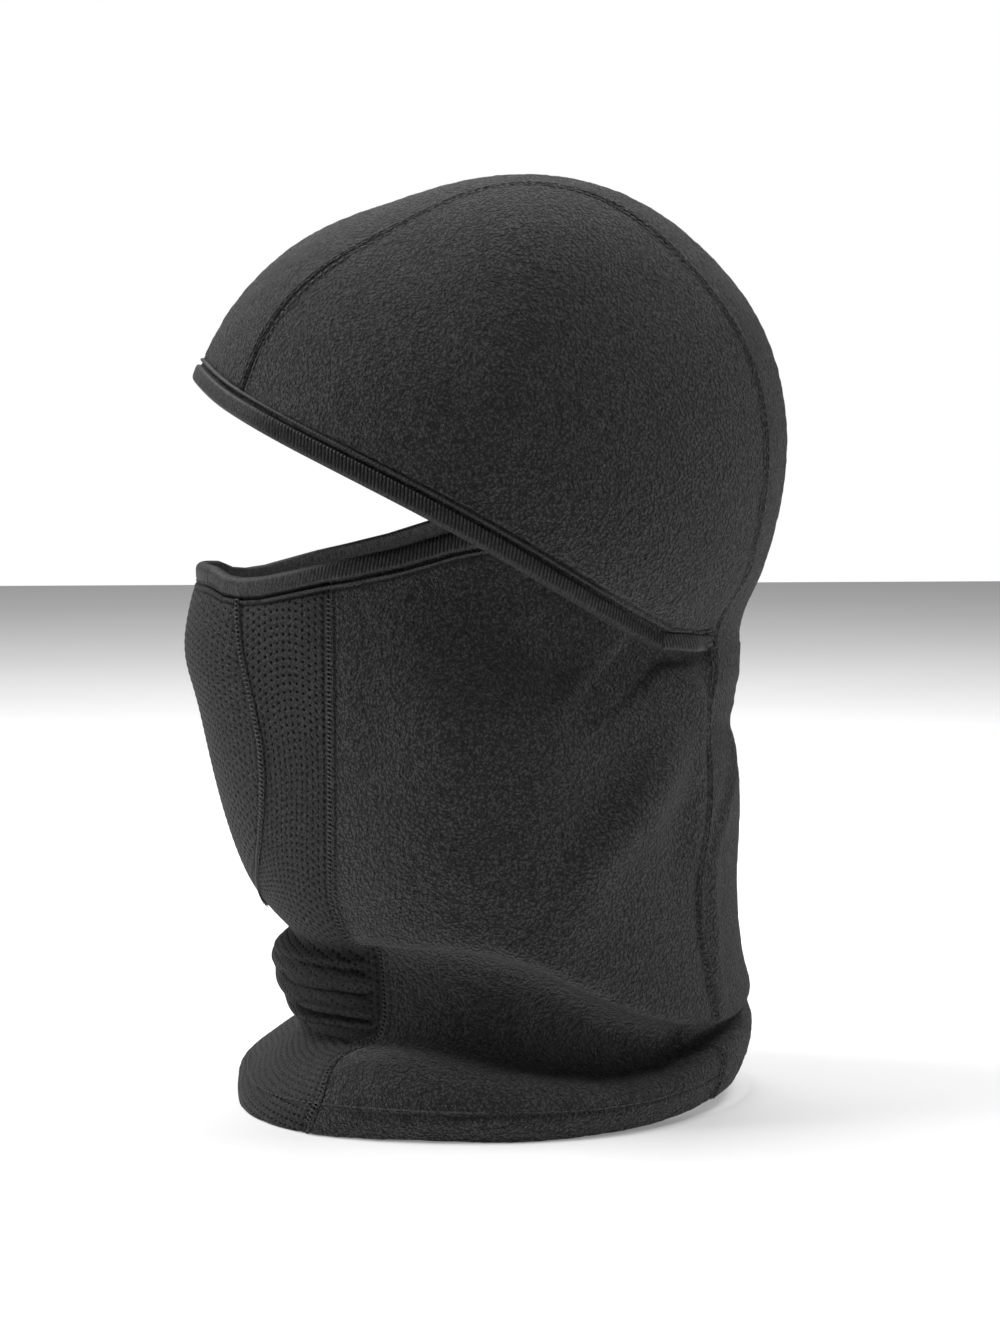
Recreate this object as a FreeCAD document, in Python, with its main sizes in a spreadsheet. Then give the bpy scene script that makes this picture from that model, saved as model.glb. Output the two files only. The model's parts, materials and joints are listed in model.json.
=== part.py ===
"""Hinged fleece balaclava: a fleece hood over a neck and face gaiter, joined at the nape.

Millimetres, +Z up. The wearer faces -Y and the wearer's left is +X. The origin is on the floor, under
the middle of the object, and the hem stands on the floor.

The hood's form is an ellipsoid tipped back about X, joined to a short skirt over the nape. The
gaiter's form is a loft through level ellipses. Each panel is the wall between a form and the same
form grown inwards, cut out along its seams by zones. A zone is a solid that covers what lies to one
side of a seam, or a band along it.
"""

import FreeCAD, Part
import Sketcher
import math
import os

doc = FreeCAD.newDocument("balaclava")
dims = doc.addObject("Spreadsheet::Sheet", "dims")

# ---------------------------------------------------------------- driving dimensions
VALUES = {
    # the hood's ellipsoid
    "hood_centre_back": -3.5,
    "hood_centre_up": 218.7,
    "hood_half_long": 109.6,
    "hood_half_high": 98.2,
    "hood_half_wide": 79.0,
    "hood_tip_back": 24.0,
    # cloth, tape and thread
    "fabric": 1.8,
    "tape": 0.9,
    "tape_wide": 8.7,
    "tape_stitch_in": 7.2,
    "thread": 0.5,
    "thread_wide": 0.6,
    "seam_row": 1.5,
    "hem_stitch_up": 9.8,
    "hem_fold_up": 12.0,
    # the strip over the head and down the back of the neck, and the nape fold that crosses it
    "strip_half": 43.0,
    "nape_up": 157.0,
    "nape_gap": 0.4,
    # the hood's lower edge, seen from the side
    "brow_back": -106.0,
    "brow_up": 248.5,
    "temple_back": -18.0,
    "temple_up": 199.1,
    "tab_start_back": 54.0,
    "tab_start_up": 158.0,
    "tab_end_up": 155.5,
    # the gaiter's upper edge, seen from the side
    "nose_back": -102.0,
    "nose_up": 185.0,
    "cheek_back": -86.0,
    "cheek_up": 181.5,
    "ear_back": -3.0,
    "ear_up": 200.5,
    "behind_ear_back": 36.0,
    "behind_ear_up": 194.0,
    "rim_end_back": 65.0,
    "rim_end_up": 165.2,
    # the shield-shaped mouth panel: two arcs of one radius
    "mouth_centre_up": 140.0,
    "mouth_half_wide": 42.0,
    "mouth_arc": 82.7,
    # the seam between the mesh front and the fleece sides, seen from the side
    "front_seam_back": -58.0,
    "front_seam_jaw_up": 70.0,
    "front_seam_hollow_back": -40.0,
    "front_seam_hollow_up": 53.0,
    "front_seam_fold_up": 30.0,
    "front_seam_hem_back": -66.5,
    "seam_round": 8.0,
    # how far the zones reach past the object
    "reach": 150.0,
    "over_top": 340.0,
    "under_hem": -12.0,
}

# Level sections: height, front, back and half the width
GAITER_SECTIONS = {
    "hem": (0.0, -90.0, 92.0, 77.5),
    "hem_roll": (10.0, -89.0, 93.5, 78.5),
    "low_fold": (25.0, -72.0, 93.5, 68.0),
    "hollow": (42.0, -76.0, 92.0, 62.0),
    "high_fold": (58.0, -73.0, 90.0, 66.0),
    "chin": (76.0, -84.0, 88.5, 72.0),
    "jaw": (105.0, -95.0, 88.5, 73.0),
    "mouth": (133.0, -101.5, 87.0, 70.0),
    "lip": (148.0, -105.4, 86.8, 65.5),
    "nostril": (163.0, -107.0, 86.5, 61.0),
    "bridge": (184.0, -102.0, 83.0, 60.5),
    "rim": (206.0, -97.0, 80.0, 60.0),
}
SKIRT_SECTIONS = {
    "skirt_foot": (140.0, -106.5, 90.3, 71.4),
    "skirt_nape": (157.0, -108.8, 90.0, 66.2),
    "skirt_mid": (172.0, -107.9, 89.4, 63.7),
    "skirt_top": (190.0, -104.4, 85.4, 63.7),
}
for section, (height, front, back, half) in {**GAITER_SECTIONS, **SKIRT_SECTIONS}.items():
    VALUES[section + "_height"] = height
    VALUES[section + "_front"] = front
    VALUES[section + "_behind"] = back
    VALUES[section + "_half"] = half

for row, (alias, value) in enumerate(VALUES.items(), start=1):
    dims.set(f"A{row}", alias)
    dims.set(f"B{row}", str(value))
    dims.setAlias(f"B{row}", alias)
doc.recompute()


# ---------------------------------------------------------------- helpers
def bind(obj, **expressions):
    """Binds properties to expressions. A double underscore in a name stands for a dot."""
    for name, expression in expressions.items():
        obj.setExpression(name.replace("__", "."), expression)


def turned(axis, angle):
    return FreeCAD.Placement(FreeCAD.Vector(), FreeCAD.Rotation(FreeCAD.Vector(*axis), angle))


def box(name, x0, x1, y0, y1, z0, z1):
    """A zone between two corners, each given as an expression."""
    obj = doc.addObject("Part::Box", name)
    bind(obj, Length=f"({x1}) - ({x0})", Width=f"({y1}) - ({y0})", Height=f"({z1}) - ({z0})")
    bind(obj, Placement__Base__x=x0, Placement__Base__y=y0, Placement__Base__z=z0)
    return obj


def common(name, *shapes):
    obj = doc.addObject("Part::MultiCommon", name)
    obj.Shapes = list(shapes)
    return obj


def fuse(name, *shapes):
    obj = doc.addObject("Part::MultiFuse", name)
    obj.Shapes = list(shapes)
    return obj


def cut(name, base, *tools):
    """base less each of the tools in turn."""
    for number, tool in enumerate(tools, start=1):
        obj = doc.addObject("Part::Cut", name if number == len(tools) else f"{name}_{number}")
        obj.Base = base
        obj.Tool = tool
        base = obj
    return base


def wall(name, outer, inner, *zones):
    """The part of the wall between two forms that lies in all the zones."""
    return cut(name, common(name + "_filled", outer, *zones), inner)


def mirrored(name, source):
    """The same piece on the wearer's right."""
    obj = doc.addObject("Part::Mirroring", name)
    obj.Source = source
    obj.Base = FreeCAD.Vector(0, 0, 0)
    obj.Normal = FreeCAD.Vector(1, 0, 0)
    return obj


def loft(name, sections, grow):
    """A loft through level ellipses, each grown by an expression."""
    ellipses = []
    for section in sections:
        ellipse = doc.addObject("Part::Ellipse", f"{name}_{section}")
        ellipse.Placement = turned((0, 0, 1), 90)
        front, back = f"dims.{section}_front", f"dims.{section}_behind"
        bind(
            ellipse,
            MajorRadius=f"({back} - {front}) / 2 + {grow}",
            MinorRadius=f"dims.{section}_half + {grow}",
            Placement__Base__y=f"({back} + {front}) / 2",
            Placement__Base__z=f"dims.{section}_height",
        )
        ellipses.append(ellipse)
    obj = doc.addObject("Part::Loft", name)
    obj.Sections = ellipses
    obj.Solid = True
    return obj


def hood_form(name, grow):
    """The hood's ellipsoid and its skirt, grown by an expression."""
    ball = doc.addObject("Part::Ellipsoid", name + "_ball")
    ball.Placement = turned((1, 0, 0), 1)
    bind(
        ball,
        Radius1=f"dims.hood_half_high + {grow}",
        Radius2=f"dims.hood_half_wide + {grow}",
        Radius3=f"dims.hood_half_long + {grow}",
        Placement__Base__y="dims.hood_centre_back",
        Placement__Base__z="dims.hood_centre_up",
        Placement__Rotation__Angle="dims.hood_tip_back",
    )
    return fuse(name, ball, loft(name + "_skirt", SKIRT_SECTIONS, grow))


def gaiter_form(name, grow):
    return loft(name, GAITER_SECTIONS, grow)


def side_zone(name, corners, rounded=()):
    """A prism along X whose outline, seen from the side, has these corners as pairs of expressions.
    The corners numbered in rounded get a fillet."""
    body = doc.addObject("PartDesign::Body", name)
    sketch = body.newObject("Sketcher::SketchObject", name + "_outline")
    plane = [feature for feature in body.Origin.OriginFeatures if feature.Role == "YZ_Plane"][0]
    sketch.AttachmentSupport = (plane, "")
    sketch.MapMode = "FlatFace"
    count = len(corners)
    ring = [(math.cos(math.tau * i / count), math.sin(math.tau * i / count)) for i in range(count)]
    for i in range(count):
        start, end = ring[i], ring[(i + 1) % count]
        sketch.addGeometry(Part.LineSegment(FreeCAD.Vector(*start, 0), FreeCAD.Vector(*end, 0)))
    for i in range(count):
        sketch.addConstraint(Sketcher.Constraint("Coincident", i, 2, (i + 1) % count, 1))
    for i, (back, up) in enumerate(corners):
        across = sketch.addConstraint(Sketcher.Constraint("DistanceX", -1, 1, i, 1, ring[i][0]))
        level = sketch.addConstraint(Sketcher.Constraint("DistanceY", -1, 1, i, 1, ring[i][1]))
        sketch.setExpression(f"Constraints[{across}]", back)
        sketch.setExpression(f"Constraints[{level}]", up)
    doc.recompute()
    pad = body.newObject("PartDesign::Pad", name + "_pad")
    pad.Profile = sketch
    pad.Midplane = True
    bind(pad, Length="2 * dims.reach")
    doc.recompute()
    if rounded:
        tolerance = 1e-4
        starts = [sketch.Geometry[i].StartPoint for i in rounded]
        edges = []
        for number, edge in enumerate(pad.Shape.Edges, start=1):
            ends = [vertex.Point for vertex in edge.Vertexes]
            for start in starts:
                if all(abs(p.y - start.x) + abs(p.z - start.y) < tolerance for p in ends):
                    edges.append(f"Edge{number}")
        fillet = body.newObject("PartDesign::Fillet", name + "_rounding")
        fillet.Base = (pad, edges)
        bind(fillet, Radius="dims.seam_round")
        body.Tip = fillet
        doc.recompute()
    return body


FAR_BACK, FAR_FRONT = "dims.reach", "-dims.reach"
TOP, UNDER = "dims.over_top", "dims.under_hem"


def brow_line(back, up):
    """The point of the hood's sloping edge at that depth, moved up by an expression."""
    slope = "(dims.brow_up - dims.temple_up) / (dims.temple_back - dims.brow_back)"
    return (back, f"dims.temple_up + (dims.temple_back - ({back})) * {slope} + {up}")


def brow_edge(up):
    """The sloping edge alone, carried on to the back at the same slope."""
    return [brow_line(FAR_FRONT, up), brow_line(FAR_BACK, up)]


def hood_edge(up):
    """The hood's lower edge from front to back, moved up by an expression."""
    return [
        brow_line(FAR_FRONT, up),
        brow_line("dims.temple_back", up),
        ("dims.tab_start_back", f"dims.tab_start_up + {up}"),
        (FAR_BACK, f"dims.tab_end_up + {up}"),
    ]


def gaiter_edge(up):
    """The gaiter's upper edge from front to back, moved up by an expression."""
    return [
        (FAR_FRONT, f"dims.nose_up + {up}"),
        ("dims.nose_back", f"dims.nose_up + {up}"),
        ("dims.cheek_back", f"dims.cheek_up + {up}"),
        ("dims.ear_back", f"dims.ear_up + {up}"),
        ("dims.behind_ear_back", f"dims.behind_ear_up + {up}"),
        ("dims.rim_end_back", f"dims.rim_end_up + {up}"),
        (FAR_BACK, f"dims.rim_end_up + {up}"),
    ]


def band(name, edge, low, high):
    """The zone between an edge moved up by low and the same edge moved up by high."""
    return side_zone(name, edge(low) + edge(high)[::-1])


def above(name, edge, up):
    return side_zone(name, edge(up) + [(FAR_BACK, TOP), (FAR_FRONT, TOP)])


def below(name, edge, up):
    return side_zone(name, edge(up) + [(FAR_BACK, UNDER), (FAR_FRONT, UNDER)])


def front_zone(name, shift):
    """What lies in front of the seam between mesh and fleece, with the seam moved back by shift."""
    corners = [
        (FAR_FRONT, UNDER),
        (f"dims.front_seam_hem_back + {shift}", UNDER),
        (f"dims.front_seam_hem_back + {shift}", "0"),
        (f"dims.front_seam_hollow_back + {shift}", "dims.front_seam_fold_up"),
        (f"dims.front_seam_hollow_back + {shift}", "dims.front_seam_hollow_up"),
        (f"dims.front_seam_back + {shift}", "dims.front_seam_jaw_up"),
        (f"dims.front_seam_back + {shift}", TOP),
        (FAR_FRONT, TOP),
    ]
    return side_zone(name, corners, rounded=(3, 4, 5))


def mouth_zone(name, grow):
    """The mouth panel's shield, grown by an expression: where two cylinders along Y overlap."""
    arcs = []
    for side, sign in (("left", "-1"), ("right", "1")):
        arc = doc.addObject("Part::Cylinder", f"{name}_{side}_arc")
        arc.Placement = turned((1, 0, 0), 90)
        bind(
            arc,
            Radius=f"dims.mouth_arc + {grow}",
            Height="dims.reach",
            Placement__Base__x=f"{sign} * (dims.mouth_arc - dims.mouth_half_wide)",
            Placement__Base__z="dims.mouth_centre_up",
        )
        arcs.append(arc)
    return common(name, *arcs)


def seam_rows(name, front):
    """The zones of two rows of stitches, one each side of the strip's left seam, from front back."""
    rows = []
    for side, sign in (("inner", "-"), ("outer", "+")):
        middle = f"dims.strip_half {sign} dims.seam_row"
        edges = (f"{middle} - dims.thread_wide / 2", f"{middle} + dims.thread_wide / 2")
        rows.append(box(f"{name}_{side}", *edges, front, FAR_BACK, UNDER, TOP))
    return fuse(name, *rows)


# ---------------------------------------------------------------- forms
hood_outer = hood_form("hood_outer", "0")
hood_inner = hood_form("hood_inner", "-dims.fabric")
hood_tape_outer = hood_form("hood_tape_outer", "dims.tape")
hood_tape_inner = hood_form("hood_tape_inner", "-(dims.fabric + dims.tape)")
hood_thread = hood_form("hood_thread", "dims.thread")
hood_tape_thread = hood_form("hood_tape_thread", "dims.tape + dims.thread")

gaiter_outer = gaiter_form("gaiter_outer", "0")
gaiter_inner = gaiter_form("gaiter_inner", "-dims.fabric")
gaiter_tape_outer = gaiter_form("gaiter_tape_outer", "dims.tape")
gaiter_tape_inner = gaiter_form("gaiter_tape_inner", "-(dims.fabric + dims.tape)")
gaiter_thread = gaiter_form("gaiter_thread", "dims.thread")
gaiter_tape_thread = gaiter_form("gaiter_tape_thread", "dims.tape + dims.thread")
gaiter_fold = gaiter_form("gaiter_fold", "-2 * dims.fabric")

# ---------------------------------------------------------------- zones
everywhere = (FAR_FRONT, FAR_BACK)
strip = "dims.strip_half"
flap = "(dims.strip_half - dims.nape_gap)"
hood_bottom = "dims.nape_up + dims.nape_gap"
hem_seam_top = "dims.hem_stitch_up + 2 * dims.thread_wide"
row_low = "dims.tape_stitch_in - dims.thread_wide / 2"
row_high = "dims.tape_stitch_in + dims.thread_wide / 2"

left_half = box("left_half", "0", FAR_BACK, *everywhere, UNDER, TOP)
left_of_strip = box("left_of_strip", strip, FAR_BACK, *everywhere, UNDER, TOP)
over_head = box("over_head", f"-{strip}", strip, *everywhere, hood_bottom, TOP)
behind_face = box("behind_face", f"-{strip}", strip, "0", FAR_BACK, UNDER, TOP)
down_back = box("down_back", f"-{flap}", flap, "0", FAR_BACK, UNDER, "dims.nape_up")
strip_behind = box("strip_behind", f"-{flap}", flap, "0", FAR_BACK, UNDER, TOP)
face_side = box("face_side", *everywhere, FAR_FRONT, "dims.tab_start_back", UNDER, TOP)
nape_side = box("nape_side", *everywhere, "dims.tab_start_back", FAR_BACK, UNDER, TOP)
above_nape = box("above_nape", *everywhere, *everywhere, hood_bottom, TOP)
above_hem_seam = box("above_hem_seam", *everywhere, *everywhere, hem_seam_top, TOP)
back_row_level = box("back_row_level", *everywhere, *everywhere, hem_seam_top, "dims.nape_up")
hem_level = box("hem_level", *everywhere, *everywhere, "0", "dims.hem_fold_up")
hem_row_level = box(
    "hem_row_level",
    *everywhere,
    *everywhere,
    "dims.hem_stitch_up - dims.thread_wide / 2",
    "dims.hem_stitch_up + dims.thread_wide / 2",
)

above_hood_tape = above("above_hood_tape", hood_edge, "dims.tape_wide")
above_brow_tape = above("above_brow_tape", brow_edge, "dims.tape_wide")
below_mask_tape = below("below_mask_tape", gaiter_edge, "-dims.tape_wide")
mesh_zone = front_zone("mesh_zone", "0")
mouth = mouth_zone("mouth", "0")

# ---------------------------------------------------------------- hood
crown_strip = wall("crown_strip", hood_outer, hood_inner, above_brow_tape, over_head)
hood_side_left = wall("hood_side_panel_left", hood_outer, hood_inner, above_hood_tape, left_of_strip)
hood_side_right = mirrored("hood_side_panel_right", hood_side_left)

hood_tape_band = band("hood_tape_band", hood_edge, "0", "dims.tape_wide")
hood_tape = wall("hood_tape", hood_tape_outer, hood_tape_inner, hood_tape_band, face_side)
hood_binding = cut("hood_edge_binding", hood_tape, behind_face)
rear_tab_left = wall(
    "rear_hem_tab_left", hood_outer, hood_inner, hood_tape_band, nape_side, left_of_strip
)
rear_tab_right = mirrored("rear_hem_tab_right", rear_tab_left)

# ---------------------------------------------------------------- gaiter
gaiter_wall = cut("gaiter_wall", gaiter_outer, gaiter_inner)
gaiter_cloth = common("gaiter_cloth", gaiter_wall, below_mask_tape)
neck_back = common("neck_back_panel", gaiter_wall, down_back)
mesh_cloth = common("mesh_cloth", gaiter_cloth, mesh_zone)
mouth_panel = common("mouth_panel", mesh_cloth, mouth)
mesh_left = cut("mesh_side_panel_left", common("mesh_left_half", mesh_cloth, left_half), mouth)
mesh_right = mirrored("mesh_side_panel_right", mesh_left)
gaiter_left = common("gaiter_left", gaiter_cloth, left_half)
neck_side_left = cut("neck_side_panel_left", gaiter_left, mesh_zone, strip_behind)
neck_side_right = mirrored("neck_side_panel_right", neck_side_left)

mask_tape_band = band("mask_tape_band", gaiter_edge, "-dims.tape_wide", "0")
mask_tape = wall("mask_tape", gaiter_tape_outer, gaiter_tape_inner, mask_tape_band, face_side)
mask_binding = cut("mask_edge_binding", mask_tape, behind_face)
hem_fold = wall("hem_fold_band", gaiter_inner, gaiter_fold, hem_level)

# ---------------------------------------------------------------- stitches
crown_rows = seam_rows("crown_rows", FAR_FRONT)
crown_stitch_left = wall(
    "crown_seam_stitch_left", hood_thread, hood_outer, above_hood_tape, above_nape, crown_rows
)
crown_stitch_right = mirrored("crown_seam_stitch_right", crown_stitch_left)
back_rows = seam_rows("back_rows", "0")
back_stitch_left = wall(
    "back_seam_stitch_left", gaiter_thread, gaiter_outer, back_row_level, back_rows
)
back_stitch_right = mirrored("back_seam_stitch_right", back_stitch_left)

front_seam_band = cut(
    "front_seam_band",
    front_zone("front_seam_behind", "dims.seam_row"),
    front_zone("front_seam_ahead", "-dims.seam_row"),
)
front_stitch_zones = (front_seam_band, below_mask_tape, above_hem_seam, left_half)
front_stitch_left = wall(
    "front_seam_stitch_left", gaiter_thread, gaiter_outer, *front_stitch_zones
)
front_stitch_right = mirrored("front_seam_stitch_right", front_stitch_left)
mouth_seam_band = cut(
    "mouth_seam_band",
    mouth_zone("mouth_wide", "dims.seam_row"),
    mouth_zone("mouth_narrow", "-dims.seam_row"),
)
mouth_stitch = wall(
    "mouth_seam_stitch", gaiter_thread, gaiter_outer, mouth_seam_band, below_mask_tape
)

hood_row_band = band("hood_row_band", hood_edge, row_low, row_high)
hood_row = wall("hood_row", hood_tape_thread, hood_tape_outer, hood_row_band, face_side)
hood_binding_stitch = cut("hood_binding_stitch", hood_row, behind_face)
mask_row_band = band("mask_row_band", gaiter_edge, f"-({row_high})", f"-({row_low})")
mask_row = wall("mask_row", gaiter_tape_thread, gaiter_tape_outer, mask_row_band, face_side)
mask_binding_stitch = cut("mask_binding_stitch", mask_row, behind_face)
hem_stitch = wall("hem_stitch", gaiter_thread, gaiter_outer, hem_row_level)

NODES = [
    crown_strip, hood_side_left, hood_side_right, hood_binding, rear_tab_left, rear_tab_right,
    crown_stitch_left, crown_stitch_right, hood_binding_stitch,
    mouth_panel, mesh_left, mesh_right, neck_side_left, neck_side_right, neck_back,
    mask_binding, hem_fold,
    mouth_stitch, front_stitch_left, front_stitch_right, back_stitch_left, back_stitch_right,
    mask_binding_stitch, hem_stitch,
]

# ---------------------------------------------------------------- check and write
doc.recompute()
for obj in doc.Objects:
    if "Invalid" in obj.State or "Error" in obj.State:
        raise RuntimeError(f"{obj.Label} failed: {obj.State}")
for node in NODES:
    shape = node.Shape
    if shape.isNull() or not shape.isValid() or not shape.Solids or shape.Volume <= 0:
        raise RuntimeError(f"{node.Label} has no valid solid")
os.makedirs("parts", exist_ok=True)
for node in NODES:
    node.Shape.exportStep(f"parts/{node.Label}.step")
    print(f"{node.Label:26s} solids {len(node.Shape.Solids):3d}  volume {node.Shape.Volume:9.1f}")
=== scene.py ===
import json
import math

import bpy
import numpy as np
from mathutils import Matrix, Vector


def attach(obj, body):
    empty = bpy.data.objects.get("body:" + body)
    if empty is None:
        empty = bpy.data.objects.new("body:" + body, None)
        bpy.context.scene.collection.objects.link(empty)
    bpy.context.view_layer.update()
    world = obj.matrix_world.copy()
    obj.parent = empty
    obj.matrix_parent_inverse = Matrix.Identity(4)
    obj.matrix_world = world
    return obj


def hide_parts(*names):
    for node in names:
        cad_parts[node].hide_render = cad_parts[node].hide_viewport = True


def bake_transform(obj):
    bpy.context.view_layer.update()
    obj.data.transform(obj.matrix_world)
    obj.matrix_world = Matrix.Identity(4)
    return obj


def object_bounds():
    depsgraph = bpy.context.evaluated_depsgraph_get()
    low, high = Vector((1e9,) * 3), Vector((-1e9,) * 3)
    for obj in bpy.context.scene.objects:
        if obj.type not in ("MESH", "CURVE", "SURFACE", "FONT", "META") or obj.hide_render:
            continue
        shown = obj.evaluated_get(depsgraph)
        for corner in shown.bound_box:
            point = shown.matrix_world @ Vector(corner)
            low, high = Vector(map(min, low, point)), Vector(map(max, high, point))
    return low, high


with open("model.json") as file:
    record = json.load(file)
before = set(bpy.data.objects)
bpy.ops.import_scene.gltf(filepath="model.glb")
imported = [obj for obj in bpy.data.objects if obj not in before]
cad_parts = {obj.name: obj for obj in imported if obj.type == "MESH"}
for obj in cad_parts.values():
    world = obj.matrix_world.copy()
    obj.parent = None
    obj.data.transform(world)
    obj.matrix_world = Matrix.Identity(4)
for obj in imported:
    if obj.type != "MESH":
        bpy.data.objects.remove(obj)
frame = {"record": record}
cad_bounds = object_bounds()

# Everything is worked out in millimetres in the CAD frame: the wearer faces -Y, the wearer's left is
# +X and the hem stands on z = 0. Meshes are scaled to metres when they are made.
MM = 0.001
TAU = 2 * math.pi
FABRIC = 1.8  # how thick the cloth is
FINE = 0.85  # spacing of the fleece's surface points
KNIT_FINE = 0.42  # spacing of the perforated knit's surface points

nape = np.array(frame["record"]["behaviour"]["joints"][0]["pos_m"]) / MM


# ---- curves and noise
def spline(xs, ys, x):
    """A natural cubic through (xs, ys), taken at x. ys may hold rows of values."""
    xs, ys = np.asarray(xs, float), np.asarray(ys, float)
    n = len(xs)
    step = np.diff(xs)
    system = np.eye(n)
    slope = np.diff(ys, axis=0) / step.reshape((-1,) + (1,) * (ys.ndim - 1))
    right = np.zeros_like(ys)
    for i in range(1, n - 1):
        system[i, i - 1 : i + 2] = step[i - 1], 2 * (step[i - 1] + step[i]), step[i]
        right[i] = 6 * (slope[i] - slope[i - 1])
    bend = np.linalg.solve(system, right.reshape(n, -1)).reshape(ys.shape)
    x = np.clip(np.asarray(x, float), xs[0], xs[-1])
    i = np.clip(np.searchsorted(xs, x, side="right") - 1, 0, n - 2)
    wide = x.shape + (1,) * (ys.ndim - 1)
    h, a = step[i].reshape(wide), (x - xs[i]).reshape(wide)
    b = h - a
    start, end = ys[i] / h - bend[i] * h / 6, ys[i + 1] / h - bend[i + 1] * h / 6
    return (bend[i] * b**3 + bend[i + 1] * a**3) / (6 * h) + start * b + end * a


def smooth(x, start=0.0, end=1.0):
    """0 before start, 1 after end, and an even rise between them."""
    t = np.clip((np.asarray(x, float) - start) / (end - start), 0, 1)
    return t * t * (3 - 2 * t)


def bell(x, width):
    """A rounded bump: 1 at x = 0, and almost 0 beyond twice the width."""
    return np.exp(-((x / width) ** 2))


def soft_max(a, b, width):
    """The larger of a and b, with the corner between them rounded over width."""
    return (a + b + np.sqrt((a - b) ** 2 + width**2)) / 2


def lerp(a, b, t):
    return a + (b - a) * t


def unit(v):
    return v / np.maximum(np.linalg.norm(v, axis=-1, keepdims=True), 1e-9)


def along(path):
    """The distance run along a path at each of its points."""
    steps = np.linalg.norm(np.diff(path, axis=0), axis=-1)
    return np.concatenate([[0], np.cumsum(steps)])


def sample(values, run, places):
    """The rows of values, known at run, taken at other places along it."""
    return np.stack([np.interp(places, run, column) for column in values.T], -1)


def even_places(path, count=None, pitch=None):
    """Places spread evenly along a path: this many, or about this far apart."""
    length = along(path)[-1]
    return np.linspace(0, length, count or max(2, int(round(length / pitch)) + 1))


def spread(path, **spacing):
    """The path's points spread evenly again."""
    return sample(path, along(path), even_places(path, **spacing))


EDGE_FINE = 0.42  # spacing of the fleece's surface points beside its edges and seams
AT_SEAM, AT_FLAT_SEAM, AT_EDGE = 3.5, 4.0, 12.0  # how wide those finer stretches are


def respace(grid, axis, dense):
    """The same surface with its points spread evenly along one axis, and closer together within
    dense = (first, last) mm of its ends. Values beyond the first three ride along."""
    grid = np.moveaxis(grid, axis, 0)
    run = distances(grid[..., :3], 0)
    first, last = (int(part / EDGE_FINE) for part in dense)
    middle = max(4, int((run[-1].max() - sum(dense)) / FINE))
    columns = []
    for i, length in enumerate(run[-1]):
        scale = min(1, length / (3 * sum(dense)))
        near, far = dense[0] * scale, length - dense[1] * scale
        start = np.linspace(0, near, first, endpoint=False)
        end = np.linspace(far, length, last + 1)[1:]
        places = np.concatenate([start, np.linspace(near, far, middle), end])
        columns.append(sample(grid[:, i], run[:, i], places))
    return np.moveaxis(np.stack(columns, 1), 0, axis)


def lattice(i, j, k, seed):
    """A repeatable random number from -1 to 1 for each whole-numbered point."""
    n = (i * 374761393 + j * 668265263 + k * 1274126177 + seed * 974634777) & 0xFFFFFFFF
    n = ((n ^ (n >> 13)) * 1103515245) & 0xFFFFFFFF
    return ((n ^ (n >> 16)) & 0xFFFF) / 32767.5 - 1


def noise(points, size, seed=0):
    """Smooth noise from -1 to 1 with features of about this size in mm."""
    p = points / size
    base = np.floor(p).astype(np.int64)
    f = p - base
    f = f * f * (3 - 2 * f)
    total = 0
    for corner in range(8):
        bits = [(corner >> axis) & 1 for axis in range(3)]
        weight = 1
        for axis, bit in enumerate(bits):
            weight = weight * (f[..., axis] if bit else 1 - f[..., axis])
        total = total + weight * lattice(*(base[..., axis] + bits[axis] for axis in range(3)), seed)
    return total


# ---- the hood's form
HOOD_CENTRE = np.array([0.0, -3.5, 218.7])
HOOD_WIDE = 79.0
SQUARE = 2.2  # 2 is round across; more is flatter
TOP_SQUARE = 0.8  # the crown is flatter still, by this much at this angle
TOP_ANGLE, TOP_SPREAD = math.radians(8), math.radians(24)
# The hood's middle outline: degrees from straight up towards the back, and the distance out
OUTLINE = np.array([
    (-180, 99.5), (-150, 105.0), (-120, 108.5), (-100, 106.5), (-85, 104.2), (-72, 103.0),
    (-60, 102.4), (-45, 100.4), (-30, 97.2), (-20, 95.8), (-10, 96.4), (0, 98.3), (15, 101.8),
    (30, 104.9), (45, 106.5), (60, 107.7), (75, 107.2), (90, 105.2), (105, 103.6), (120, 103.6),
    (150, 99.5), (180, 99.5),
])
# The hood's sloping edge and the level hem behind it, as depths and heights
HOOD_EDGE = np.array([
    (-110, 256.0), (-103.5, 249.6), (-97, 243.0), (-88, 236.4), (-62.7, 222.4), (-23.8, 202.2),
    (8.9, 183.7), (40.7, 165.0), (51.5, 159.4),
])
TAB_START = HOOD_EDGE[-1]
NECK_JOIN = (156.0, 182.0)  # the heights between which the hood's back runs into the neck's


def edge_height(y):
    """The height of the hood's sloping edge at that depth."""
    return spline(*HOOD_EDGE.T, y)


def square(angle):
    return SQUARE + TOP_SQUARE * bell(angle - TOP_ANGLE, TOP_SPREAD)


def shrink(angle, x):
    """How much the hood's middle outline shrinks at that distance from the middle."""
    power = square(angle)
    return (1 - np.minimum(np.abs(x) / HOOD_WIDE, 0.999) ** power) ** (1 / power)


def hood_reach(angle):
    """How far out the hood's middle outline is at that angle, in radians."""
    return spline(np.radians(OUTLINE[:, 0]), OUTLINE[:, 1], angle)


def hood_at(angle, x):
    """A point of the hood. The angle runs from straight up, 0, towards the back."""
    reach = shrink(angle, x) * hood_reach(angle)
    return HOOD_CENTRE + np.stack([x, reach * np.sin(angle), reach * np.cos(angle)], -1)


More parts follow.
